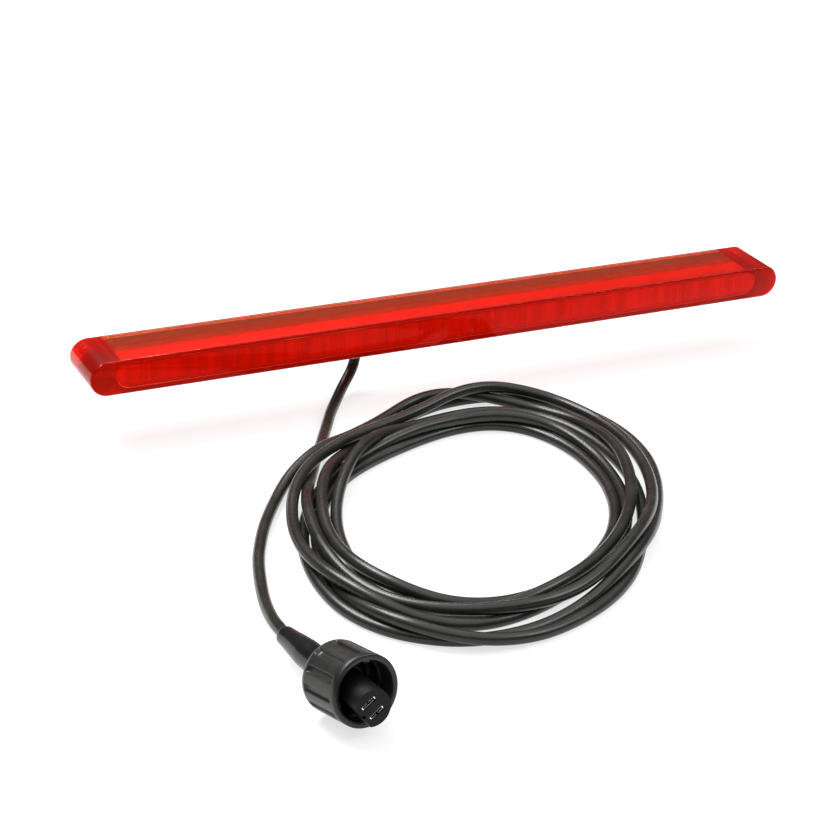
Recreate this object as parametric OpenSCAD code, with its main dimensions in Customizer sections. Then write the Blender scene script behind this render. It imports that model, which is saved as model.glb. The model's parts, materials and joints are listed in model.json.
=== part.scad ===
/* [Lamp] */
// Length of the lamp over its round ends
lamp_length = 400; // [398:1:410]
// Height of the lamp, which is also the diameter of its round ends
lamp_height = 18; // [17:0.5:22]
// Depth of the lamp from the rear mounting face to the light face
lamp_depth = 33; // [31:0.5:40]
// Thickness of the long walls of the lens
lens_wall = 2.3; // [1.8:0.1:2.6]
// Thickness of the light face of the lens
lens_front = 3; // [2:0.1:4]
// Length of the solid end blocks of the lens
lens_end = 14; // [13:0.5:14]

/* [Light] */
// Number of light emitting diodes in the row
led_count = 8; // [4:1:8]
// Distance between neighbouring diodes
led_pitch = 51; // [50:0.5:51]
// Width of one moulded flute on the optic bar
flute_width = 1.2; // [0.8:0.1:2]

/* [Fixing] */
// Radius of the tapped bore in each fixing insert
insert_bore_r = 1.65; // [1.2:0.05:2]
// Outer radius of each fixing insert
insert_r = 2.85; // [2.4:0.05:3.2]
// Length of each fixing insert
insert_length = 9; // [5:0.5:12]

/* [Cable] */
// Diameter of the round two-core cable
cable_d = 5.8; // [5:0.1:6.5]
// Place of the cable exit along the lamp, from its middle
exit_x = -46; // [-47:1:-43]
// Place of the cable exit in front of the mounting face
exit_y = -7.2; // [-7.2:0.1:-6.5]

/* [Plug] */
// Outer radius of the coupling ring over its grip ribs
ring_r = 15.4; // [15:0.1:17]
// Length of the coupling ring
ring_length = 25.2; // [24:0.1:28]
// Radius of the coupling ring's mouth
ring_mouth_r = 12.8; // [12.6:0.1:13]
// Radius of the contact carrier
carrier_r = 8; // [7:0.1:8]
// How far the contact carrier reaches in front of the ring's back face
carrier_reach = 35.6; // [30:0.1:36]

/* [Hidden] */
$fn = 64;
gap = 0.2;
end_r = lamp_height / 2;
cavity_length = lamp_length - 2 * lens_end;
cavity_height = lamp_height - 2 * lens_wall;
core_length = cavity_length - 2 * gap;
core_height = cavity_height - 2 * gap;
insert_x = lamp_length / 2 - end_r;

// depths of the inner layers, counted from the rear mounting face
cover_plate = 3;
cover_skirt = 11.5;
groove_back = 1;
groove_front = 2.6;
groove_deep = 0.8;
seal_thick = 0.75;
frame_back = 11.8;
frame_web = 1.5;
board_back = frame_back + frame_web;
board_thick = 1.6;
board_front = board_back + board_thick;
frame_front = 18;
mirror_back = 18.2;
mirror_floor = 1;
mirror_wall = 0.9;
mirror_hole_r = 2.8;
optic_back = 20;
optic_length = core_length - 2.4;
optic_height = core_height - 2.4;
cone_r = 2.6;
cone_tip_r = 1.4;
cone_long = 3;
flute_inset = 0.8;
flute_step = 1.5 * flute_width;
flute_spread = 10;
optic_front = lamp_depth - lens_front - 1.2;
mirror_front = lamp_depth - lens_front - 0.3;
thin_wall = 1.2;
board_length = core_length - 2 * thin_wall - 2 * gap;
board_height = core_height - 2 * thin_wall - 2 * gap;
led_start = -(led_count - 1) * led_pitch / 2;
led_size = 3.5;
led_tall = 1.3;
led_dome_r = 1.3;
led_dome_tall = 0.5;
resistor_size = [3.2, 0.6, 1.6];
resistor_off = 7;
part_z = 1.5;
diode_size = [4.6, 1.6, 2.6];
diode_off = -14;
chip_size = [5, 1.5, 4];
chip_off = 9;
board_screw_r = 0.9;
head_r = 1.8;
head_tall = 1.1;
cross_long = 2.6;
cross_wide = 0.4;
cross_deep = 0.5;
core_r = 0.9;
core_spread = 1.3;
jacket_end = -1;
bend_z = 2;
terminal_tall = 0.9;
terminal_r = 1.15;
window_size = 12;
hole_gap = 0.1;

// the exit through the underside of the lamp
exit_hole_r = 4.6;
jacket_grip = 4.1;
grommet_tall = 3.5;
grommet_tip_r = 4;
grommet_top_r = 5.6;
grommet_tip = -end_r - grommet_tall - hole_gap;
clamp_size = [11, 8, 2.6];
clamp_low = -3.9;

// the cable: the surface it lies on, its radius, and the three stretches of its route
floor_z = -38;
cable_r = cable_d / 2;
lay_z = floor_z + cable_r;
tube_sides = 12;
LEAD_ROUTE = [
    [exit_x, exit_y, grommet_tip], [exit_x, exit_y, -17], [-46.8, -7.8, -23], [-51.3, -10.6, -29],
    [-60.7, -20.6, -33.2], [-71.5, -35, lay_z], [-82, -52, lay_z], [-93, -70, lay_z],
    [-105, -89, lay_z]
];
TAIL_ROUTE = [
    [-95, -81, -29], [-107, -89, -29.3], [-119, -97, -31.5], [-130, -108, -34], [-140, -121, lay_z],
    [-150, -136, lay_z], [-159, -152, lay_z], [-167, -169, lay_z], [-173, -186, lay_z],
    [-178, -202, -34.2], [-181.5, -216, -32.4], [-184, -229, -30.2]
];
lead_beside = [0.8, -0.6, 0];
coil_centre = [-47, -157];
coil_turn = 54;
coil_outer = [134, 88];
coil_inner = [84, 61];
coil_tall = 13;
coil_sides = 60;

// the plug: its pivot is the middle of the coupling ring's back face
plug_pivot = [-183, -286, -22.9];
ring_heading = -81;
ring_pitch = 12;
body_heading = -87;
body_pitch = 7;
boot_back = -43.5;
boot_waist = -22;
boot_front = -6;
boot_end_r = 4.4;
boot_r = 6.3;
neck_r = 6.6;
flange_back = 5;
flange_front = 8;
flange_r = 10.4;
spigot_r = 5;
carrier_back = 11.6;
spigot_front = 17;
carrier_flat = 5.6;
carrier_roll = 125;
slot_width = 7;
slot_tall = 2;
slot_spread = 6;
slot_back = 19;
contact_thick = 0.4;
contact_sink = 0.6;
contact_gap = 1;
keyway_wide = 1.6;
keyway_deep = 1.2;
keyway_long = 6;
seal_r = 1.5;
ring_web = 3;
ring_hole_r = 8.6;
ring_inner_r = 12;
ring_step = 16.2;
ring_band = 3;
ring_groove = 0.8;
ring_ribs = 12;
ring_corner = 2.5;
ring_bevel = 0.4;
rib_wide = 5.2;
lug_count = 3;
lug_first = 166;
lug_tall = 1.4;
lug_wide = 3.4;
lug_back = 20;
lug_long = 2.6;

// ---- shapes that repeat ----

// an outline with straight long sides and round ends, standing in the X-Z plane
module slot_outline(length, height) {
    square([length - height, height], center = true);
    for (side = [-1, 1])
        translate([side * (length - height) / 2, 0])
            circle(d = height);
}

// the outline given depth, from back to front, counted from the mounting face towards the light face
module slot_block(length, height, back, front) {
    translate([0, -back, 0])
        rotate([90, 0, 0])
            linear_extrude(front - back)
                slot_outline(length, height);
}

// a box standing on the circuit board at x, z
module board_box(x, z, size) {
    translate([x - size[0] / 2, -board_front - size[1], z - size[2] / 2])
        cube(size);
}

// a cylinder along Y, from back to front
module depth_rod(x, z, r, back, front) {
    translate([x, -back, z])
        rotate([90, 0, 0])
            cylinder(r = r, h = front - back);
}

// an upright cylinder at the cable exit
module exit_rod(r, low, high) {
    translate([exit_x, exit_y, low])
        cylinder(r = r, h = high - low);
}

function led_x(i) = led_start + i * led_pitch;

function unit(v) = v / norm(v);

// direction of a route at one of its points
function along(route, i) =
    unit(route[min(i + 1, len(route) - 1)] - route[max(i - 1, 0)]);

// one ring of points round a route
function ring_at(p, t, beside) =
    let (side = unit(cross(t, beside)), up = cross(side, t))
    [for (k = [0 : tube_sides - 1])
        p + cable_r * (cos(360 * k / tube_sides) * side + sin(360 * k / tube_sides) * up)];

// a round cable along a route, beside is a direction that the route never takes
module cable_along(route, start_dir, end_dir, beside) {
    n = len(route);
    points = [for (i = [0 : n - 1])
        let (t = i == 0 ? start_dir : i == n - 1 ? end_dir : along(route, i))
        each ring_at(route[i], t, beside)];
    skin = [for (i = [0 : n - 2], k = [0 : tube_sides - 1])
        let (next = (k + 1) % tube_sides, a = i * tube_sides, b = a + tube_sides)
        [a + k, a + next, b + next, b + k]];
    first = [for (k = [tube_sides - 1 : -1 : 0]) k];
    last = [for (k = [0 : tube_sides - 1]) (n - 1) * tube_sides + k];
    polyhedron(points, concat([first], skin, [last]));
}

function ellipse(size, turn) = [for (k = [0 : coil_sides - 1])
    let (a = 360 * k / coil_sides, x = size[0] * cos(a), y = size[1] * sin(a))
    [x * cos(turn) - y * sin(turn), x * sin(turn) + y * cos(turn)]];

// turns +Z into a heading and a pitch, from the plug's pivot
module from_pivot(heading, pitch) {
    translate(plug_pivot)
        rotate([0, 90 - pitch, heading])
            children();
}

function aim(heading, pitch) =
    [cos(pitch) * cos(heading), cos(pitch) * sin(heading), sin(pitch)];

module on_body() {
    from_pivot(body_heading, body_pitch)
        children();
}

// ---- the lamp ----

module lens() {
    color("red", 0.6)
    difference() {
        slot_block(lamp_length, lamp_height, 0, lamp_depth);
        slot_block(cavity_length, cavity_height, -1, lamp_depth - lens_front);
        for (side = [-1, 1])
            depth_rod(side * insert_x, 0, insert_r + hole_gap, -1, insert_length);
        exit_rod(exit_hole_r, -end_r - 1, 0);
    }
}

module back_cover() {
    color("dimgray")
    difference() {
        slot_block(core_length, core_height, 0, cover_skirt);
        slot_block(core_length - 2 * thin_wall, core_height - 2 * thin_wall, cover_plate, cover_skirt + 1);
        // groove for the seal
        difference() {
            slot_block(core_length + 2, core_height + 2, groove_back, groove_front);
            slot_block(core_length - 2 * groove_deep, core_height - 2 * groove_deep, 0, cover_skirt);
        }
        exit_rod(exit_hole_r, -end_r, 0);
    }
}

module cover_seal() {
    color("mistyrose")
    difference() {
        slot_block(core_length, core_height, groove_back + hole_gap, groove_front - hole_gap);
        slot_block(core_length - 2 * seal_thick, core_height - 2 * seal_thick, 0, cover_skirt);
    }
}

module inner_frame() {
    color("gray")
    difference() {
        slot_block(core_length, core_height, frame_back, frame_front);
        slot_block(core_length - 2 * thin_wall, core_height - 2 * thin_wall, board_back, frame_front + 1);
        for (i = [0 : 2 : led_count - 2])
            depth_rod(led_x(i) + led_pitch / 2, 0, board_screw_r + hole_gap / 2, 0, frame_front);
        // window for the cable's two cores
        translate([exit_x - window_size / 2, -board_back - 1, -core_height / 2 + thin_wall])
            cube([window_size, frame_web + 2, core_height - 2 * thin_wall]);
    }
}

module circuit_board() {
    color("darkgreen")
    difference() {
        slot_block(board_length, board_height, board_back, board_front);
        for (i = [0 : 2 : led_count - 2])
            depth_rod(led_x(i) + led_pitch / 2, 0, board_screw_r + hole_gap, 0, frame_front);
    }
}

module leds() {
    color("ivory")
    for (i = [0 : led_count - 1]) {
        board_box(led_x(i), 0, [led_size, led_tall - led_dome_tall, led_size]);
        depth_rod(led_x(i), 0, led_dome_r, board_front + led_tall - led_dome_tall, board_front + led_tall);
    }
}

module resistors() {
    color("black")
    for (i = [0 : led_count - 1])
        board_box(led_x(i) + (led_x(i) < 0 ? resistor_off : -resistor_off), part_z, resistor_size);
}

module protection_diode() {
    color("black")
    board_box(exit_x + diode_off, -part_z, diode_size);
}

module regulator_chip() {
    color("black")
    board_box(exit_x + chip_off, 0, chip_size);
}

module board_screws() {
    color("silver")
    for (i = [0 : 2 : led_count - 2]) {
        x = led_x(i) + led_pitch / 2;
        depth_rod(x, 0, board_screw_r, frame_back, board_front);
        difference() {
            depth_rod(x, 0, head_r, board_front, board_front + head_tall);
            for (turn = [0, 90])
                translate([x, -board_front - head_tall, 0])
                    rotate([0, turn, 0])
                        cube([cross_long, 2 * cross_deep, cross_wide], center = true);
        }
    }
}

module solder_terminals() {
    color("gold")
    for (side = [-1, 1])
        depth_rod(exit_x + side * core_spread, bend_z, terminal_r, board_back - terminal_tall, board_back);
}

// one insulated core: up out of the jacket, then forward to the board
module core(side) {
    x = exit_x + side * core_spread;
    translate([x, exit_y, jacket_end])
        cylinder(r = core_r, h = bend_z - jacket_end);
    translate([x, exit_y, bend_z])
        sphere(r = core_r);
    depth_rod(x, bend_z, core_r, -exit_y, board_back - terminal_tall);
}

module lead_positive() {
    color("brown")
    core(-1);
}

module lead_negative() {
    color("white")
    core(1);
}

module reflector() {
    color("orangered")
    difference() {
        slot_block(core_length, core_height, mirror_back, mirror_front);
        slot_block(
            core_length - 2 * mirror_wall, core_height - 2 * mirror_wall,
            mirror_back + mirror_floor, mirror_front + 1
        );
        for (i = [0 : led_count - 1])
            depth_rod(led_x(i), 0, mirror_hole_r, mirror_back - 1, mirror_front);
    }
}

// one upright flute on the light side of the optic bar, left out past the bar's straight stretch
module flute(x) {
    if (abs(x) < optic_length / 2 - optic_height / 2)
        translate([x, -optic_front, -optic_height / 2 + flute_inset])
            cylinder(r = flute_width / 2, h = optic_height - 2 * flute_inset);
}

// the clear bar over the diodes: a cone over each diode and two groups of flutes before it
module optic_bar() {
    color("tomato")
    difference() {
        union() {
            slot_block(optic_length, optic_height, optic_back, optic_front);
            for (i = [0 : led_count - 1], side = [-1, 1], k = [-2 : 2])
                flute(led_x(i) + side * flute_spread + k * flute_step);
        }
        for (i = [0 : led_count - 1])
            translate([led_x(i), -optic_back + 0.01, 0])
                rotate([90, 0, 0])
                    cylinder(r1 = cone_r, r2 = cone_tip_r, h = cone_long);
    }
}

module mounting_inserts() {
    color("goldenrod")
    for (side = [-1, 1])
        difference() {
            depth_rod(side * insert_x, 0, insert_r, 0, insert_length);
            depth_rod(side * insert_x, 0, insert_bore_r, -1, insert_length + 1);
        }
}

// the collar that keeps the cable from being pulled out of the lamp
module cable_clamp() {
    color("black")
    difference() {
        translate([exit_x - clamp_size[0] / 2, exit_y - clamp_size[1] / 2, clamp_low])
            cube(clamp_size);
        exit_rod(cable_r, -5, 0);
    }
}

module cable_grommet() {
    color("black")
    difference() {
        union() {
            exit_rod(exit_hole_r - hole_gap, -end_r - hole_gap, -jacket_grip);
            translate([exit_x, exit_y, grommet_tip])
                cylinder(r1 = grommet_tip_r, r2 = grommet_top_r, h = grommet_tall);
        }
        exit_rod(cable_r, grommet_tip - 1, 0);
    }
}

// ---- the cable ----

module cable_lead() {
    color("#2a2a28") {
        cable_along(LEAD_ROUTE, [0, 0, -1], along(LEAD_ROUTE, len(LEAD_ROUTE) - 1), lead_beside);
        exit_rod(cable_r, LEAD_ROUTE[0][2], jacket_end);
    }
}

module cable_coil() {
    color("#2a2a28")
    translate([coil_centre[0], coil_centre[1], floor_z])
        linear_extrude(coil_tall)
            difference() {
                polygon(ellipse(coil_outer, coil_turn));
                polygon(ellipse(coil_inner, coil_turn));
            }
}

module cable_tail() {
    plug_way = aim(body_heading, body_pitch);
    boot_end = plug_pivot + boot_back * plug_way;
    color("#2a2a28")
    cable_along(concat(TAIL_ROUTE, [boot_end]), along(TAIL_ROUTE, 0), plug_way, [0, 0, 1]);
}

// ---- the plug ----

module plug_boot() {
    color("#141414")
    on_body()
        rotate_extrude()
            polygon([
                [0, boot_back], [boot_end_r - 0.8, boot_back], [boot_end_r, boot_back + 0.8],
                [boot_r, boot_waist], [boot_r, boot_front], [0, boot_front]
            ]);
}

module plug_body() {
    color("#1c1c1c")
    on_body()
        rotate_extrude()
            polygon([
                [0, boot_front], [neck_r, boot_front], [neck_r, flange_back], [flange_r, flange_back],
                [flange_r, flange_front], [neck_r, flange_front], [neck_r, carrier_back],
                [spigot_r, carrier_back], [spigot_r, spigot_front], [0, spigot_front]
            ]);
}

module contact_slot(side) {
    translate([-slot_width / 2, side * slot_spread / 2 - slot_tall / 2, slot_back])
        cube([slot_width, slot_tall, carrier_reach]);
}

module contact_carrier() {
    color("#242424")
    on_body()
        rotate(carrier_roll)
            difference() {
                intersection() {
                    translate([0, 0, carrier_back])
                        cylinder(r = carrier_r, h = carrier_reach - carrier_back);
                    translate([-carrier_flat, -carrier_r - 1, 0])
                        cube([3 * carrier_r, 2 * carrier_r + 2, carrier_reach + 1]);
                }
                translate([0, 0, carrier_back - 1])
                    cylinder(r = spigot_r + hole_gap / 2, h = spigot_front - carrier_back + 1);
                for (side = [-1, 1])
                    contact_slot(side);
                // the keyway between the two slots, at the flat
                translate([-carrier_flat - 1, -keyway_wide / 2, carrier_reach - keyway_long])
                    cube([keyway_deep + 1, keyway_wide, keyway_long + 1]);
            }
}

// one folded spring contact: a flat sleeve, open along the middle of one side
module contact(side) {
    low = slot_back + 0.1;
    long = carrier_reach - contact_sink - low;
    outer = [slot_width - 0.2, slot_tall - 0.2];
    on_body()
        rotate(carrier_roll)
            translate([0, side * slot_spread / 2, low])
                linear_extrude(long)
                    difference() {
                        square(outer, center = true);
                        square(outer - [2, 2] * contact_thick, center = true);
                        translate([0, side * outer[1] / 2])
                            square([contact_gap, 3 * contact_thick], center = true);
                    }
}

module contact_positive() {
    color("silver")
    contact(1);
}

module contact_negative() {
    color("silver")
    contact(-1);
}

module plug_seal() {
    seal_mid = (flange_front + carrier_back) / 2;
    color("#0c0c0c")
    on_body()
        translate([0, 0, seal_mid])
            rotate_extrude()
                translate([neck_r + seal_r, 0])
                    circle(r = seal_r);
}

module coupling_ring() {
    color("#262624")
    from_pivot(ring_heading, ring_pitch)
        union() {
            // smooth skin with a rounded back corner
            rotate_extrude()
                polygon([
                    [ring_hole_r, 0], [ring_r - ring_corner, 0],
                    [ring_r - ring_groove - ring_bevel, ring_corner * 0.6],
                    [ring_r - ring_groove, ring_corner], [ring_r - ring_groove, ring_length - ring_band],
                    [ring_r, ring_length - ring_band], [ring_r, ring_length - ring_bevel],
                    [ring_r - ring_bevel, ring_length], [ring_mouth_r, ring_length],
                    [ring_mouth_r, ring_step], [ring_inner_r, ring_step],
                    [ring_inner_r, ring_web], [ring_hole_r, ring_web]
                ]);
            // grip ribs
            intersection() {
                difference() {
                    cylinder(r = ring_r, h = ring_length - ring_band / 2);
                    translate([0, 0, -1])
                        cylinder(r = ring_r - 2 * ring_groove, h = ring_length + 2);
                }
                for (k = [0 : ring_ribs - 1])
                    rotate(360 * (k + 0.5) / ring_ribs)
                        translate([ring_inner_r, -rib_wide / 2, ring_corner])
                            cube([ring_r, rib_wide, ring_length]);
            }
            // bayonet lugs inside the mouth
            for (k = [0 : lug_count - 1])
                rotate(lug_first + 360 * k / lug_count)
                    translate([ring_mouth_r - lug_tall, -lug_wide / 2, lug_back])
                        cube([1.5 * lug_tall, lug_wide, lug_long]);
        }
}

lens();
back_cover();
cover_seal();
inner_frame();
reflector();
optic_bar();
circuit_board();
leds();
resistors();
protection_diode();
regulator_chip();
board_screws();
solder_terminals();
lead_positive();
lead_negative();
mounting_inserts();
cable_clamp();
cable_grommet();
cable_lead();
cable_coil();
cable_tail();
plug_boot();
plug_body();
contact_carrier();
contact_positive();
contact_negative();
plug_seal();
coupling_ring();
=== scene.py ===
import json
from math import cos, hypot, pi, radians, sin

import bmesh
import bpy
import numpy as np
from mathutils import Matrix, Vector


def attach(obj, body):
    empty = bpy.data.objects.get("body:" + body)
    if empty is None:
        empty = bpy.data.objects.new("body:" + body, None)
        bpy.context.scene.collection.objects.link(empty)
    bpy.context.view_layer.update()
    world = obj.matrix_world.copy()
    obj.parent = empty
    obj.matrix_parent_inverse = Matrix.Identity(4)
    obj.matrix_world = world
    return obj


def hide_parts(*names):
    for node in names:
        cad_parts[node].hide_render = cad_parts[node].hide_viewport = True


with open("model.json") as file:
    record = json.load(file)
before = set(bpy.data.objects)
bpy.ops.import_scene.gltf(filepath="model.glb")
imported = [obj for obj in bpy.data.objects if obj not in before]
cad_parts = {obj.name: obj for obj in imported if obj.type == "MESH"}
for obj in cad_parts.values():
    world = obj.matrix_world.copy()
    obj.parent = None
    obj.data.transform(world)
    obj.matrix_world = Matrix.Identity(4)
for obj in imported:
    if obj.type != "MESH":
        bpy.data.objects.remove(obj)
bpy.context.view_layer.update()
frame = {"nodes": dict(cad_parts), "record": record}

MM = 0.001
SCENE = bpy.context.scene

# ------------------------------------------------------- sizes, in millimetres, as in the CAD model
LAMP = (400, 18, 33)               # length, height, depth
LENS_WALL, LENS_FRONT, LENS_END = 2.3, 3, 14
CAVITY = (LAMP[0] - 2 * LENS_END, LAMP[1] - 2 * LENS_WALL)
INSERT_X, INSERT_R, INSERT_LONG = 191, 2.95, 9
EXIT = (-46, -7.2)
FLOOR_Z = -38
CABLE_R = 2.9
LAY_Z = FLOOR_Z + CABLE_R

PIVOT = (-183, -286, -22.9)        # middle of the coupling ring's back face
RING_HEADING, RING_PITCH = -81, 12
BODY_HEADING, BODY_PITCH = -87, 7
BOOT_BACK = -43.5
GROMMET_TIP = -12.6                # height of the end of the grommet, where the cable comes out

# ---------------------------------------------------------------- camera
CAMERA_AT = (-0.5205, -1.0079, 0.4744)
CAMERA_TURN = (-26.889, 25.301, 2.902)        # azimuth, elevation and roll, in degrees
SENSOR_WIDTH, FOCAL_LENGTH = 36, 101.35
CLIP_START, CLIP_END = 0.05, 20


def camera():
    """The picture's viewpoint: a long lens, above the lamp and to its left."""
    azimuth, elevation, roll = [radians(turn) for turn in CAMERA_TURN]
    back = Vector((sin(azimuth) * cos(elevation), -cos(azimuth) * cos(elevation), sin(elevation)))
    right = (-back).cross(Vector((0, 0, 1))).normalized()
    up = right.cross(-back)
    tilted = cos(roll) * right + sin(roll) * up
    above = cos(roll) * up - sin(roll) * right
    data = bpy.data.cameras.new("camera")
    data.sensor_width = SENSOR_WIDTH
    data.lens = FOCAL_LENGTH
    data.clip_start, data.clip_end = CLIP_START, CLIP_END
    cam = bpy.data.objects.new("camera", data)
    SCENE.collection.objects.link(cam)
    turn = Matrix((tilted, above, back)).transposed().to_4x4()
    cam.matrix_world = Matrix.Translation(CAMERA_AT) @ turn
    SCENE.camera = cam


camera()

# ---------------------------------------------------------------- the cable's route
LEAD_ROUTE = [
    (*EXIT, GROMMET_TIP), (*EXIT, -17), (-46.8, -7.8, -23), (-51.3, -10.6, -29),
    (-60.7, -20.6, -33.2), (-71.5, -35, LAY_Z), (-82, -52, LAY_Z), (-93, -70, LAY_Z), (-105, -89, LAY_Z),
]
TAIL_ROUTE = [
    (-95, -81, -29), (-107, -89, -29.3), (-119, -97, -31.5), (-130, -108, -34), (-140, -121, LAY_Z),
    (-150, -136, LAY_Z), (-159, -152, LAY_Z), (-167, -169, LAY_Z), (-173, -186, LAY_Z),
    (-178, -202, -34.2), (-181.5, -216, -32.4), (-184, -229, -30.2),
]
COIL_CENTRE = (-47, -157)
COIL_AXES = (110, 75)
COIL_TURN = radians(54)
STATION = 45                       # degrees between the places below
FIRST_STATION = 90
# each turn, from 90 degrees on: how far outside the middle oval, and how high over the lowest layer
TURNS = [
    [(9.5, 0), (3, 3), (-3, 4), (0.5, 4.5), (4.5, 6), (8.5, 6), (12.5, 4.5), (-3, 5)],
    [(11, 3), (12.5, 5), (4.5, 0.5), (-7, 0), (-8, 0), (-12, 2), (-19.5, 3), (-18, 1.5)],
    [(3, 0), (12.6, 0), (16.5, 0), (6.5, 0.5), (6, 1.5), (15.5, 0), (16, 0), (4, 0)],
    [(1.5, 5), (-4.5, 4), (-14, 0), (-14, 0), (-9.5, 0), (-17.5, 0), (-19, 0), (-17.5, 0)],
    [(-3, 0), (6.5, 0), (18.5, 0.5), (11, 0), (2.5, 0), (-2, 0), (-2.5, 0), (-7, 0)],
    [(-6.5, 3), (-8, 0), (-6.8, 0), (-8.5, 4), (-6, 5), (0, 4), (7, 0), (13, 0)],
]
BEFORE_COIL, AFTER_COIL = (30, 0), (17, 5)
COIL_STEP = 15                     # degrees between the points that the coil's loop makes
COIL_FROM, COIL_TO = 97.5, 2212.5


def between(a, b, c, d, t):
    """A smooth value between b and c, with a and d as their neighbours."""
    return b + 0.5 * t * (c - a + t * (2 * a - 5 * b + 4 * c - d + t * (3 * (b - c) + d - a)))


def coil_points():
    """The points of the turns: an oval, moved out or in and up as the stations say."""
    stations = [BEFORE_COIL] + [station for turn in TURNS for station in turn] + [AFTER_COIL] * 2
    stations = np.array(stations, float)
    made = []
    for angle in np.arange(COIL_FROM, COIL_TO, COIL_STEP):
        whole = (angle - FIRST_STATION) / STATION
        i = int(whole)
        out, high = between(*stations[i:i + 4], whole - i)
        a = radians(angle)
        x, y = COIL_AXES[0] * cos(a), COIL_AXES[1] * sin(a)
        nx, ny = cos(a) / COIL_AXES[0], sin(a) / COIL_AXES[1]
        x, y = x + out * nx / hypot(nx, ny), y + out * ny / hypot(nx, ny)
        made.append((
            COIL_CENTRE[0] + x * cos(COIL_TURN) - y * sin(COIL_TURN),
            COIL_CENTRE[1] + x * sin(COIL_TURN) + y * cos(COIL_TURN),
            LAY_Z + max(high, 0),
        ))
    return made


def plug_frame(heading, pitch):
    """The frame whose +Z runs along the plug, in metres."""
    return (Matrix.Translation(Vector(PIVOT) * MM)
            @ Matrix.Rotation(radians(heading), 4, "Z")
            @ Matrix.Rotation(radians(90 - pitch), 4, "Y"))


BODY_FRAME = plug_frame(BODY_HEADING, BODY_PITCH)
RING_FRAME = plug_frame(RING_HEADING, RING_PITCH)


def length_of(line):
    return float(np.linalg.norm(np.diff(np.array(line), axis=0), axis=1).sum())


def evenly(line, step):
    """The same line with its points a step apart."""
    run = np.concatenate([[0], np.cumsum(np.linalg.norm(np.diff(line, axis=0), axis=1))])
    marks = np.linspace(0, run[-1], round(run[-1] / step) + 1)
    return np.stack([np.interp(marks, run, line[:, k]) for k in range(3)], axis=1)


def smooth_line(points, step):
    """The points joined by one smooth curve, with a point about every step."""
    p = np.array(points, float)
    p = np.vstack([2 * p[0] - p[1], p, 2 * p[-1] - p[-2]])
    line = []
    for i in range(len(p) - 3):
        parts = max(2, round(np.linalg.norm(p[i + 2] - p[i + 1]) / (step / 4)))
        line += [between(*p[i:i + 4], k / parts) for k in range(parts)]
    line.append(p[-2])
    return evenly(np.array(line), step)


def spline_weights(many, few):
    """How much each of a few control points of a cubic spline pulls each of its many points."""
    t = np.linspace(0, few - 3, many)
    i = np.minimum(t.astype(int), few - 4)
    w = t - i
    weights = np.zeros((many, few))
    for k, value in enumerate([(1 - w) ** 3, 3 * w ** 3 - 6 * w ** 2 + 4,
                               3 * w ** 2 + 3 * w + 1 - 3 * w ** 3, w ** 3]):
        weights[np.arange(many), i + k] = value / 6
    return weights


CABLE_STEP = 3                     # distance between the points of the line
CONTROL_STEP = 14                  # distance between the control points that move it
ROUNDS, LOOK_AGAIN = 260, 10       # rounds of settling, and how often the close pairs are found anew
CLOSE, APART_ALONG = 14, 8         # pairs this close are watched, if this many points apart
TOUCHING = 2 * CABLE_R + 0.05      # strands nearer than this push each other
PUSH_SHARE = np.array([0.5, 0.5, 1])   # of a push, along each axis: strands rise more than they shift
HOME_SHARE = np.array([1, 1, 0.3])     # of the pull back to the first line, along each axis
GAIN, STIFFNESS = 1.6, 0.02
SINK, SINK_UNTIL = 0.025, 0.8      # millimetres a round, and the share of the rounds that it lasts
HOLD, HOLD_UNTIL, HOLD_AFTER = 0.05, 0.7, 0.01
TINY = 1e-9


def settle(line, free):
    """Lays the turns on and beside each other.

    They push apart where they cross, sink a little and stay smooth.
    """
    many = len(line)
    weights = spline_weights(many, round(many * CABLE_STEP / CONTROL_STEP))
    knots = np.linalg.lstsq(weights, line, rcond=None)[0]
    home = knots.copy()
    share = (weights / weights.sum(axis=0)).T
    loose = np.minimum(1, share @ free)[:, None]
    index = np.arange(many)
    for turn in range(ROUNDS):
        line = weights @ knots
        if turn % LOOK_AGAIN == 0:
            apart = ((line[:, None, :] - line[None, :, :]) ** 2).sum(axis=2)
            later = index[None, :] - index[:, None] > APART_ALONG
            one, two = np.where((apart < CLOSE ** 2) & later)
        gap = line[one] - line[two]
        far = np.sqrt((gap ** 2).sum(axis=1)) + TINY
        over = np.maximum(TOUCHING - far, 0)
        push = gap / far[:, None] * (over / 2)[:, None] * PUSH_SHARE
        moved, total = np.zeros_like(line), np.full(many, TINY)
        np.add.at(moved, one, push * over[:, None])
        np.add.at(moved, two, -push * over[:, None])
        np.add.at(total, one, over)
        np.add.at(total, two, over)
        moved /= total[:, None]
        moved[:, 2] += np.maximum(LAY_Z - line[:, 2], 0)
        knots = knots + GAIN * loose * (share @ moved)
        knots[:, 2] -= (SINK if turn < ROUNDS * SINK_UNTIL else 0) * loose[:, 0]
        hold = HOLD if turn < ROUNDS * HOLD_UNTIL else HOLD_AFTER
        knots += hold * loose * (home - knots) * HOME_SHARE
        off = knots - home
        bend = np.zeros_like(knots)
        bend[2:-2] = off[:-4] - 4 * off[1:-3] + 6 * off[2:-2] - 4 * off[3:-1] + off[4:]
        knots -= STIFFNESS * loose * bend
    return weights @ knots


INSIDE_BOOT, INSIDE_LAMP = 4, -9   # how far the cable goes into the boot, and its height in the lamp
FREE_IN_LEAD, FREE_IN_TAIL = 30, 60   # how far into the lead and the tail the line may still move
FADE = 60                          # the length over which it becomes free


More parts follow.
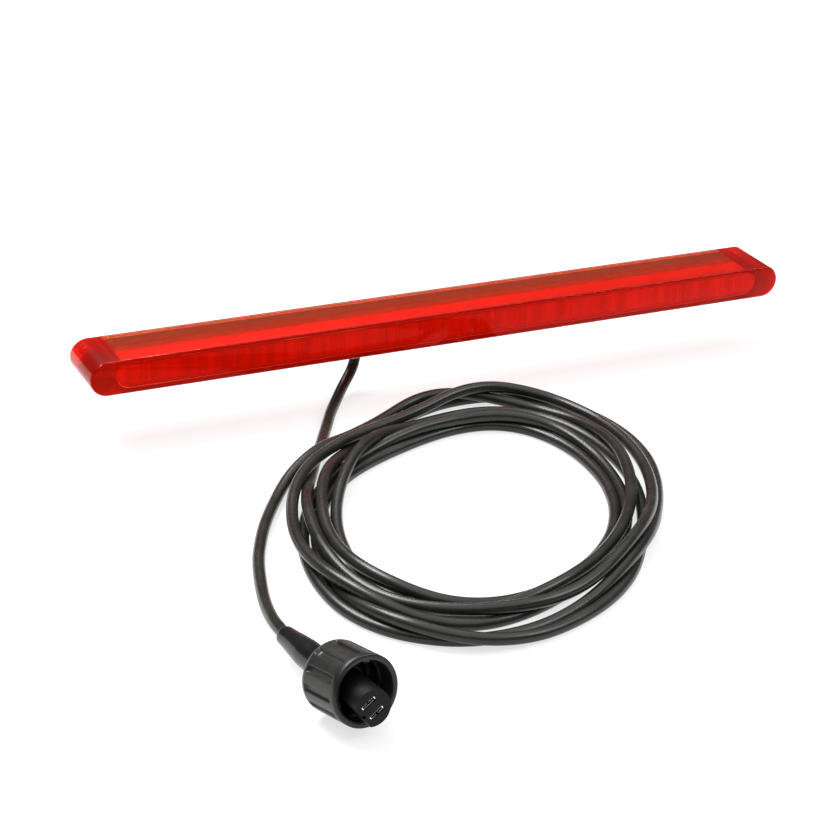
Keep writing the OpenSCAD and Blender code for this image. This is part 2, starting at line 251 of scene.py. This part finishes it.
def cable_line():
    """The whole line of the cable, from the lamp to the boot, nowhere below the floor."""
    boot_end = tuple(BODY_FRAME @ Vector((0, 0, (BOOT_BACK + INSIDE_BOOT) * MM)) / MM)
    start = (*EXIT, INSIDE_LAMP)
    points = [start] + LEAD_ROUTE + coil_points() + TAIL_ROUTE + [boot_end]
    line = smooth_line(points, CABLE_STEP)
    run = np.linspace(0, length_of(line), len(line))
    lead, tail = length_of([start] + LEAD_ROUTE), length_of(TAIL_ROUTE + [boot_end])
    free = np.clip((run - lead + FREE_IN_LEAD) / FADE, 0, 1)
    free = free * np.clip((run[-1] - tail - run + FREE_IN_TAIL) / FADE, 0, 1)
    line = settle(line, free)
    line[:, 2] = np.maximum(line[:, 2], LAY_Z)
    return line


def cable(sides=20):
    """The cable: a round tube along its line, with no twist."""
    line = cable_line() * MM
    along = np.gradient(line, axis=0)
    along /= np.linalg.norm(along, axis=1)[:, None]
    side = np.cross(along[0], (0, 0, 1.0) if abs(along[0][2]) < 0.9 else (1.0, 0, 0))
    bm = bmesh.new()
    angles = [2 * pi * k / sides for k in range(sides)]
    rings = []
    for point, way in zip(line, along):
        side = side - way * (side @ way)
        side /= np.linalg.norm(side)
        other = np.cross(way, side)
        rings.append([Vector(point + CABLE_R * MM * (cos(a) * side + sin(a) * other))
                      for a in angles])
    skin(bm, rings)
    piece = keep_edges(add_mesh("cable", bm, "cable_jacket"), 60)
    claim(piece, "root", "cable_jacket", "cable_lead", "cable_coil", "cable_tail")
    return piece, line


# ---------------------------------------------------------------- materials
NOISE_DETAIL = 3
NOISE_MIDDLE = (0.3, 0.7)          # the range that nearly all of a noise texture is in
ACRYLIC_IOR = 1.49
END_BLOCK = (0.180, 0.188)         # distance from the middle, in metres, over which the ends begin
LENS_GLOW = (0.13, 0.27)           # strength over the cavity, and in the solid ends
LENS_ABSORBS, LENS_DENSITY = (0.88, 0.45, 0.2, 1), 700
COVER_DEPTH = -0.018               # the Y at which the cover's tint is complete
PAINTED_SHADE_FACING = (-0.5, -0.9)          # Y of the normal over which the reflector's rim darkens, as painted shade
PLAIN_GREY, BLUE_GREEN = (0.23, 0.23, 0.22, 1), (0.08, 0.29, 0.27, 1)
GREEN, BROWN = (0.07, 0.27, 0.24, 1), (0.38, 0.15, 0.05, 1)
# painted shade: the dark red of the reflector's rim that faces the front
PAINTED_RIM_SHADE = (0.3, 0.006, 0.003, 1)


def material(name, colour, rough, **more):
    """A principled material. Further sockets are named with _ for spaces."""
    m = bpy.data.materials.new(name)
    m.use_nodes = True
    shader = m.node_tree.nodes["Principled BSDF"]
    shader.inputs["Base Color"].default_value = (*colour, 1)
    shader.inputs["Roughness"].default_value = rough
    for key, value in more.items():
        shader.inputs[key.replace("_", " ")].default_value = value
    return m


def coordinate(tree, output, axis):
    """One axis of a texture coordinate."""
    coords = tree.nodes.new("ShaderNodeTexCoord")
    split = tree.nodes.new("ShaderNodeSeparateXYZ")
    tree.links.new(coords.outputs[output], split.inputs["Vector"])
    return split.outputs[axis]


def map_range(tree, source, start, end, low=0, high=1):
    """A node that turns source from start to end into values from low to high."""
    node = tree.nodes.new("ShaderNodeMapRange")
    node.inputs["From Min"].default_value, node.inputs["From Max"].default_value = start, end
    node.inputs["To Min"].default_value, node.inputs["To Max"].default_value = low, high
    tree.links.new(source, node.inputs["Value"])
    return node


def noise(m, scale, stretch=(1, 1, 1)):
    nodes, links = m.node_tree.nodes, m.node_tree.links
    coords = nodes.new("ShaderNodeTexCoord")
    mapping = nodes.new("ShaderNodeMapping")
    mapping.inputs["Scale"].default_value = stretch
    texture = nodes.new("ShaderNodeTexNoise")
    texture.inputs["Scale"].default_value = scale
    texture.inputs["Detail"].default_value = NOISE_DETAIL
    links.new(coords.outputs["Object"], mapping.inputs["Vector"])
    links.new(mapping.outputs["Vector"], texture.inputs["Vector"])
    return texture


def spread(m, source, low, high):
    """The texture's middle range turned into values from low to high."""
    return map_range(m.node_tree, source, *NOISE_MIDDLE, low, high).outputs["Result"]


def grain(m, scale, depth, strength=0.5):
    """A fine moulded or drawn surface."""
    bump = m.node_tree.nodes.new("ShaderNodeBump")
    bump.inputs["Strength"].default_value = strength
    bump.inputs["Distance"].default_value = depth * MM
    links = m.node_tree.links
    links.new(noise(m, scale).outputs["Fac"], bump.inputs["Height"])
    links.new(bump.outputs["Normal"], m.node_tree.nodes["Principled BSDF"].inputs["Normal"])


def vary_rough(m, scale, low, high):
    shader = m.node_tree.nodes["Principled BSDF"]
    m.node_tree.links.new(spread(m, noise(m, scale).outputs["Fac"], low, high), shader.inputs["Roughness"])


def vary_colour(m, scale, dark, light, stretch=(1, 1, 1)):
    nodes, links = m.node_tree.nodes, m.node_tree.links
    ramp = nodes.new("ShaderNodeValToRGB")
    ramp.color_ramp.elements[0].position, ramp.color_ramp.elements[1].position = 0.35, 0.65
    ramp.color_ramp.elements[0].color, ramp.color_ramp.elements[1].color = (*dark, 1), (*light, 1)
    links.new(noise(m, scale, stretch=stretch).outputs["Fac"], ramp.inputs["Fac"])
    links.new(ramp.outputs["Color"], nodes["Principled BSDF"].inputs["Base Color"])


def plastic(name, dark, light, rough, scale=900, depth=0.05, shine=0.5):
    """Moulded plastic or rubber: fine grain, slightly uneven gloss and colour."""
    m = material(name, light, rough, Specular_IOR_Level=shine)
    vary_colour(m, 60, dark, light)
    vary_rough(m, 140, rough * 0.85, rough * 1.15)
    grain(m, scale, depth)
    return m


def metal(name, dark, light, rough):
    m = material(name, light, rough, Metallic=1.0)
    vary_colour(m, 200, dark, light)
    vary_rough(m, 400, rough * 0.7, rough * 1.3)
    grain(m, 1500, 0.02)
    return m


def lens_material():
    """Clear red acrylic: its colour deepens with its thickness.

    It also glows weakly, and more in its solid ends, which is for looks: the lamp isn't lit.
    """
    m = material("red_lens", (1, 1, 1), 0.03, Transmission_Weight=1.0, IOR=ACRYLIC_IOR,
                 Specular_IOR_Level=0.28, Specular_Tint=(1, 0.03, 0.02, 1),
                 Emission_Color=(1, 0.02, 0.004, 1))
    tree = m.node_tree
    nodes, links = tree.nodes, tree.links
    off = nodes.new("ShaderNodeMath")
    off.operation = "ABSOLUTE"
    links.new(coordinate(tree, "Object", "X"), off.inputs[0])
    glow = map_range(tree, off.outputs["Value"], *END_BLOCK, *LENS_GLOW)
    links.new(glow.outputs["Result"], nodes["Principled BSDF"].inputs["Emission Strength"])
    depth = nodes.new("ShaderNodeVolumeAbsorption")
    depth.inputs["Color"].default_value = LENS_ABSORBS
    depth.inputs["Density"].default_value = LENS_DENSITY
    links.new(depth.outputs["Volume"], nodes["Material Output"].inputs["Volume"])
    grain(m, 25, 0.05, 0.15)
    return m


def optic_material():
    """Red plastic with upright light and dark streaks: painted highlight and shade that add to the look of
    the modelled flutes.
    """
    m = material("red_optic", (0.8, 0.03, 0.01), 0.12, IOR=ACRYLIC_IOR, Transmission_Weight=0.1,
                 Specular_IOR_Level=0.1)
    # painted highlight and shade: lighter and darker upright streaks that stand in for light on the flutes
    vary_colour(m, 190, (0.66, 0.008, 0.003), (1.0, 0.02, 0.008), stretch=(1, 0.1, 0.04))
    grain(m, 60, 0.1, 0.2)
    return m


def base_colour(m):
    """The socket that the base colour takes its value from."""
    return m.node_tree.nodes["Principled BSDF"].inputs["Base Color"].links[0].from_socket


def cover_material():
    """Grey plastic, plain on the rear face.

    Further in it is tinted, first blue-green and then brown, to look right through the red lens.
    """
    m = plastic("grey_plastic", (0.92, 0.92, 0.92), (1, 1, 1), 0.5)
    tree = m.node_tree
    mottle = base_colour(m)
    depth = map_range(tree, coordinate(tree, "Object", "Y"), 0, COVER_DEPTH)
    tint = tree.nodes.new("ShaderNodeValToRGB")
    stops = tint.color_ramp.elements
    stops[0].position, stops[0].color = 0.02, PLAIN_GREY
    stops[1].position, stops[1].color = 1, BROWN
    stops.new(0.06).color = BLUE_GREEN
    stops.new(0.3).color = GREEN
    mix = tree.nodes.new("ShaderNodeMixRGB")
    mix.blend_type = "MULTIPLY"
    mix.inputs["Fac"].default_value = 1
    tree.links.new(depth.outputs["Result"], tint.inputs["Fac"])
    tree.links.new(tint.outputs["Color"], mix.inputs["Color1"])
    tree.links.new(mottle, mix.inputs["Color2"])
    tree.links.new(mix.outputs["Color"], tree.nodes["Principled BSDF"].inputs["Base Color"])
    return m


def reflector_material():
    """Bright red plastic, with painted shade: darker on the rim that faces the light side, the front."""
    m = plastic("red_plastic", (0.94, 0.055, 0.012), (1.0, 0.085, 0.02), 0.35, shine=0.1)
    tree = m.node_tree
    red = base_colour(m)
    # painted shade: faces whose normal points to the front take the dark red
    painted_shade = map_range(tree, coordinate(tree, "Normal", "Y"), *PAINTED_SHADE_FACING)
    mix = tree.nodes.new("ShaderNodeMixRGB")
    mix.inputs["Color2"].default_value = PAINTED_RIM_SHADE
    tree.links.new(painted_shade.outputs["Result"], mix.inputs["Fac"])
    tree.links.new(red, mix.inputs["Color1"])
    tree.links.new(mix.outputs["Color"], tree.nodes["Principled BSDF"].inputs["Base Color"])
    return m


MATERIALS = {
    "red_lens": lens_material(),
    "red_optic": optic_material(),
    "grey_plastic": cover_material(),
    "red_plastic": reflector_material(),
    "pale_silicone": plastic("pale_silicone", (0.62, 0.50, 0.47), (0.72, 0.60, 0.57), 0.55),
    "board_green": plastic("board_green", (0.01, 0.07, 0.03), (0.02, 0.11, 0.05), 0.35),
    "led_body": plastic("led_body", (0.75, 0.70, 0.45), (0.85, 0.82, 0.62), 0.3),
    "component_black": plastic("component_black", (0.010, 0.010, 0.010), (0.02, 0.02, 0.02), 0.4),
    "plated_steel": metal("plated_steel", (0.50, 0.50, 0.48), (0.66, 0.66, 0.64), 0.28),
    "brass": metal("brass", (0.62, 0.42, 0.16), (0.78, 0.55, 0.24), 0.28),
    "core_brown": plastic("core_brown", (0.10, 0.04, 0.02), (0.15, 0.06, 0.03), 0.4),
    "core_white": plastic("core_white", (0.75, 0.75, 0.72), (0.85, 0.85, 0.82), 0.4),
    "black_rubber": plastic("black_rubber", (0.010, 0.010, 0.010), (0.018, 0.018, 0.017), 0.6),
    "cable_jacket": plastic("cable_jacket", (0.011, 0.011, 0.009), (0.019, 0.019, 0.016),
                            0.26, 700, 0.06, 0.35),
    "boot_black": plastic("boot_black", (0.004, 0.004, 0.004), (0.008, 0.008, 0.008),
                          0.2, 300, 0.05, 0.35),
    # plug_black: black plastic, made darker than the ring's black as painted shade for the carrier deep in
    # the ring
    "plug_black": plastic("plug_black", (0.004, 0.004, 0.004), (0.007, 0.007, 0.006),
                          0.45, 900, 0.05, 0.15),
    "ring_black": plastic("ring_black", (0.011, 0.011, 0.010), (0.019, 0.019, 0.017),
                          0.32, 1100, 0.08, 0.35),
    "plated_contact": metal("plated_contact", (0.72, 0.72, 0.70), (0.88, 0.88, 0.86), 0.2),
}


def dress_nodes():
    """Every CAD node takes the finished material of its record slot."""
    for part in frame["record"]["subparts"]:
        node = frame["nodes"].get(part["node"])
        if node:
            node.data.materials.clear()
            node.data.materials.append(MATERIALS[part["material_slot"]])


dress_nodes()


# ---------------------------------------------------------------- mesh helpers
def add_mesh(name, bm, slot):
    """An object of the mesh in bm, with smooth faces and the slot's material."""
    bmesh.ops.recalc_face_normals(bm, faces=bm.faces)
    mesh = bpy.data.meshes.new(name)
    bm.to_mesh(mesh)
    bm.free()
    for face in mesh.polygons:
        face.use_smooth = True
    mesh.materials.append(MATERIALS[slot])
    piece = bpy.data.objects.new(name, mesh)
    SCENE.collection.objects.link(piece)
    return piece


def keep_edges(piece, angle):
    """Smooth shading, but not across edges sharper than angle, in degrees."""
    mesh = piece.data
    bm = bmesh.new()
    bm.from_mesh(mesh)
    for edge in bm.edges:
        edge.smooth = len(edge.link_faces) == 2 and edge.calc_face_angle(0) < radians(angle)
    bm.to_mesh(mesh)
    bm.free()
    return piece


def claim(piece, body, slot, *nodes):
    """Puts the piece on its body, in place of its CAD nodes."""
    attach(piece, body)
    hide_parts(*nodes)
    return piece


def skin(bm, rings, loop=False):
    """Faces between rings of points; loop joins the last ring to the first, or else caps close it."""
    rows = [[bm.verts.new(p) for p in ring] for ring in rings]
    count = len(rows[0])
    pairs = list(zip(rows, rows[1:])) + ([(rows[-1], rows[0])] if loop else [])
    for a, b in pairs:
        for k in range(count):
            n = (k + 1) % count
            bm.faces.new((a[k], a[n], b[n], b[k]))
    if not loop:
        bm.faces.new(rows[0][::-1])
        bm.faces.new(rows[-1])


def slot_ring(length, height, y, sides=40):
    """A ring round an outline with straight long sides and round ends."""
    r = height / 2
    reach = length / 2 - r
    ring = []
    for k in range(2 * sides):
        a = pi * (k + 0.5) / sides - pi / 2
        x = reach if k < sides else -reach
        ring.append(Vector((x + r * cos(a), y, r * sin(a))) * MM)
    return ring


def rounded(start, end, size, inset, steps=5):
    """A quarter-round from a side to a face: (y, inset) pairs."""
    turns = [pi / 2 * k / steps for k in range(steps + 1)]
    return [(start + (end - start) * sin(t), inset + size * (1 - cos(t))) for t in turns]


def cut(piece, cutters):
    """Takes the cutters away from the piece."""
    for cutter in cutters:
        modifier = piece.modifiers.new("cut", "BOOLEAN")
        modifier.operation = "DIFFERENCE"
        modifier.solver = "EXACT"
        modifier.object = cutter
    graph = bpy.context.evaluated_depsgraph_get()
    mesh = bpy.data.meshes.new_from_object(piece.evaluated_get(graph))
    piece.modifiers.clear()
    piece.data = mesh
    for cutter in cutters:
        bpy.data.objects.remove(cutter)


def rod(r, length, where):
    """A cutter: a cylinder along its frame's Z, from its origin on."""
    bm = bmesh.new()
    bmesh.ops.create_cone(bm, cap_ends=True, segments=32, radius1=r * MM, radius2=r * MM,
                          depth=length * MM)
    bmesh.ops.translate(bm, verts=bm.verts, vec=(0, 0, length / 2 * MM))
    bmesh.ops.transform(bm, matrix=where, verts=bm.verts)
    return add_mesh("cutter", bm, "grey_plastic")


# ---------------------------------------------------------------- the lamp
REAR_CHAMFER, FRONT_ROUND, CAVITY_CHAMFER = 0.4, 1.3, 0.05
GROMMET_HOLE_R, GROMMET_HOLE_FROM, GROMMET_HOLE_LONG = 4.6, -12, 8
PAST = 5                           # how far a cutter starts outside the face it goes through


def lens():
    """The lamp's red shell: hollow from behind, with solid round ends that hold the inserts."""
    length, height, depth = LAMP
    outside = [(0.0, REAR_CHAMFER), (-REAR_CHAMFER, 0)]
    outside += rounded(-depth + FRONT_ROUND, -depth, FRONT_ROUND, 0)
    inner_front = -depth + LENS_FRONT
    hollow = [(inner_front, CAVITY_CHAMFER), (inner_front + CAVITY_CHAMFER, 0), (0.0, 0)]
    rings = [slot_ring(CAVITY[0] - 2 * inset, CAVITY[1] - 2 * inset, y) for y, inset in hollow[::-1]]
    shell = [slot_ring(length - 2 * inset, height - 2 * inset, y) for y, inset in outside]
    bm = bmesh.new()
    skin(bm, rings[::-1] + shell)
    piece = add_mesh("lens_shell", bm, "red_lens")
    backwards = Matrix.Rotation(radians(90), 4, "X")
    cutters = [rod(INSERT_R, INSERT_LONG + PAST,
                   Matrix.Translation(Vector((side * INSERT_X, PAST, 0)) * MM) @ backwards)
               for side in (-1, 1)]
    hole = Matrix.Translation(Vector((*EXIT, GROMMET_HOLE_FROM)) * MM)
    cutters.append(rod(GROMMET_HOLE_R, GROMMET_HOLE_LONG, hole))
    cut(piece, cutters)
    keep_edges(piece, 35)
    return claim(piece, "root", "red_lens", "lens")


lens()


# ---------------------------------------------------------------- the plug
RING_R, RING_GROOVE, RING_RIBS, RIB_WIDE = 15.4, 1.1, 12, 5.2
GRIP_FROM, GRIP_RUN_IN, GRIP_TO, GRIP_RUN_OUT = 2.9, 1.2, 21.2, 0.9
MOUTH_R, INNER_R, WEB_R = 12.8, 12, 8.8
LUGS, LUG_FIRST, LUG_TALL, LUG_WIDE = 3, 166, 1.4, 3.4
# once round the ring's section: what each run is, and its (distance along, radius) points
RING_SECTION = [
    ("plain", [(0, WEB_R), (0, 10.5), (0, 13.0), (0.15, 13.9), (0.55, 14.6), (1.2, 15.05), (2.1, 15.3)]),
    ("grip", [(s, RING_R) for s in (2.9, 3.3, 3.7, 4.2, 6, 9, 12, 15, 18, 20.5, 21.2, 21.6, 21.9, 22.2)]),
    ("plain", [(22.6, RING_R), (24.6, RING_R), (25.0, 15.25), (25.2, 14.9), (25.2, 13.2), (25.0, 12.95),
               (24.6, MOUTH_R), (23.0, MOUTH_R), (22.75, MOUTH_R)]),
    ("lug", [(22.6, MOUTH_R), (21.3, MOUTH_R), (20.0, MOUTH_R)]),
    ("plain", [(19.85, MOUTH_R), (18.2, MOUTH_R), (16.4, MOUTH_R), (16.2, 12.6), (16.2, 12.15),
               (16.05, INNER_R), (12, INNER_R), (7, INNER_R), (3.4, INNER_R), (3, 11.6), (3, 10),
               (3, WEB_R), (2.8, 8.6), (0.2, 8.6)]),
]


def ease(t):
    """0 to 1, starting and ending gently."""
    t = min(max(t, 0), 1)
    return t * t * (3 - 2 * t)


def ring_radius(s, r, kind, a):
    """The ring's radius at angle a: less in the grooves between ribs, and at the lugs."""
    if kind == "grip":
        pitch = 2 * pi / RING_RIBS
        off = abs((a % pitch) - pitch / 2) * RING_R          # along the rim, from the rib's middle
        groove = ease((off - RIB_WIDE / 2 + 0.35) / 0.7)
        ends = ease((s - GRIP_FROM) / GRIP_RUN_IN) * (1 - ease((s - GRIP_TO) / GRIP_RUN_OUT))
        return r - RING_GROOVE * groove * ends
    if kind == "lug":
        pitch = 2 * pi / LUGS
        off = abs((a - radians(LUG_FIRST) + pitch / 2) % pitch - pitch / 2) * r
        return r - LUG_TALL * (1 - ease((off - LUG_WIDE / 2 + 0.15) / 0.3))
    return r


def coupling_ring(sides=360):
    bm = bmesh.new()
    rings = []
    for kind, s, r in [(kind, s, r) for kind, run in RING_SECTION for s, r in run]:
        ring = []
        for k in range(sides):
            a = 2 * pi * k / sides
            radius = ring_radius(s, r, kind, a)
            ring.append(RING_FRAME @ (Vector((radius * cos(a), radius * sin(a), s)) * MM))
        rings.append(ring)
    skin(bm, rings, loop=True)
    piece = keep_edges(add_mesh("coupling_ring_shell", bm, "ring_black"), 40)
    return claim(piece, "ring", "ring_black", "coupling_ring")


def revolve(name, profile, where, slot, sides=72):
    bm = bmesh.new()
    rings = [[where @ (Vector((r * cos(2 * pi * k / sides), r * sin(2 * pi * k / sides), s)) * MM)
              for k in range(sides)] for s, r in profile]
    skin(bm, rings)
    return keep_edges(add_mesh(name, bm, slot), 50)


TAPER_FROM, TAPER_LONG, TAPER_STEPS = -42.7, 20.7, 14
BOOT_R, BOOT_GROWS = 4.4, 1.9      # radius at the thin end, and how much it grows along the taper


def boot():
    """The boot: a rounded end, a slightly hollow taper and a straight part that goes into the ring."""
    profile = [(BOOT_BACK, 3.3), (-43.45, 3.9), (-43.2, 4.25), (TAPER_FROM, BOOT_R)]
    for k in range(1, TAPER_STEPS + 1):
        t = k / TAPER_STEPS
        profile.append((TAPER_FROM + TAPER_LONG * t, BOOT_R + BOOT_GROWS * (0.65 * t + 0.35 * ease(t))))
    profile += [(-18, 6.3), (-12, 6.3), (-6.4, 6.3), (-6.1, 6.2), (-6.0, 6.0)]
    piece = revolve("cable_boot", profile, BODY_FRAME, "boot_black")
    return claim(piece, "root", "boot_black", "plug_boot")


CABLE, CABLE_LINE = cable()
RING = coupling_ring()
BOOT = boot()


# ---------------------------------------------------------------- floor and light
FLOOR_HALF, FLOOR_WHITE, FLOOR_GLOW = 20, 0.32, 0.7
HORIZON, ZENITH = (0.45, 0.12), (0.85, 1.7)   # Z of the direction, and the sky's strength there
LIGHTS_AIM = (-0.05, -0.12, -0.02)


def floor():
    """A white floor under the cable, which glows a little so that the background stays white."""
    bm = bmesh.new()
    bmesh.ops.create_grid(bm, x_segments=1, y_segments=1, size=FLOOR_HALF)
    bmesh.ops.translate(bm, verts=bm.verts, vec=(0, 0, FLOOR_Z * MM))
    mesh = bpy.data.meshes.new("floor")
    bm.to_mesh(mesh)
    bm.free()
    m = material("floor", (FLOOR_WHITE,) * 3, 0.9, Specular_IOR_Level=0.0,
                 Emission_Color=(1, 1, 1, 1), Emission_Strength=FLOOR_GLOW)
    mesh.materials.append(m)
    piece = bpy.data.objects.new("floor", mesh)
    SCENE.collection.objects.link(piece)


def area_light(name, where, size, power):
    data = bpy.data.lights.new(name, "AREA")
    data.shape = "RECTANGLE"
    data.size, data.size_y = size
    data.energy = power
    lamp = bpy.data.objects.new(name, data)
    lamp.location = where
    lamp.rotation_mode = "QUATERNION"
    lamp.rotation_quaternion = (Vector(LIGHTS_AIM) - Vector(where)).to_track_quat("-Z", "Y")
    SCENE.collection.objects.link(lamp)


def lighting():
    """A white tent: bright overhead, dimmer near the horizon, with soft lights above and behind."""
    world = bpy.data.worlds.new("studio")
    world.use_nodes = True
    tree = world.node_tree
    height = coordinate(tree, "Generated", "Z")
    ramp = map_range(tree, height, HORIZON[0], ZENITH[0], HORIZON[1], ZENITH[1])
    ramp.interpolation_type = "SMOOTHSTEP"
    background = tree.nodes["Background"]
    tree.links.new(ramp.outputs["Result"], background.inputs["Strength"])
    background.inputs["Color"].default_value = (1, 1, 1, 1)
    SCENE.world = world
    area_light("key", (-0.7, 0.7, 1.7), (1.0, 0.7), 40)
    area_light("fill", (1.3, -0.9, 1.4), (0.8, 0.8), 12)
    area_light("strip", (-0.2, 1.2, 1.5), (1.4, 0.15), 12)


floor()
lighting()
SCENE.view_settings.view_transform = "Standard"
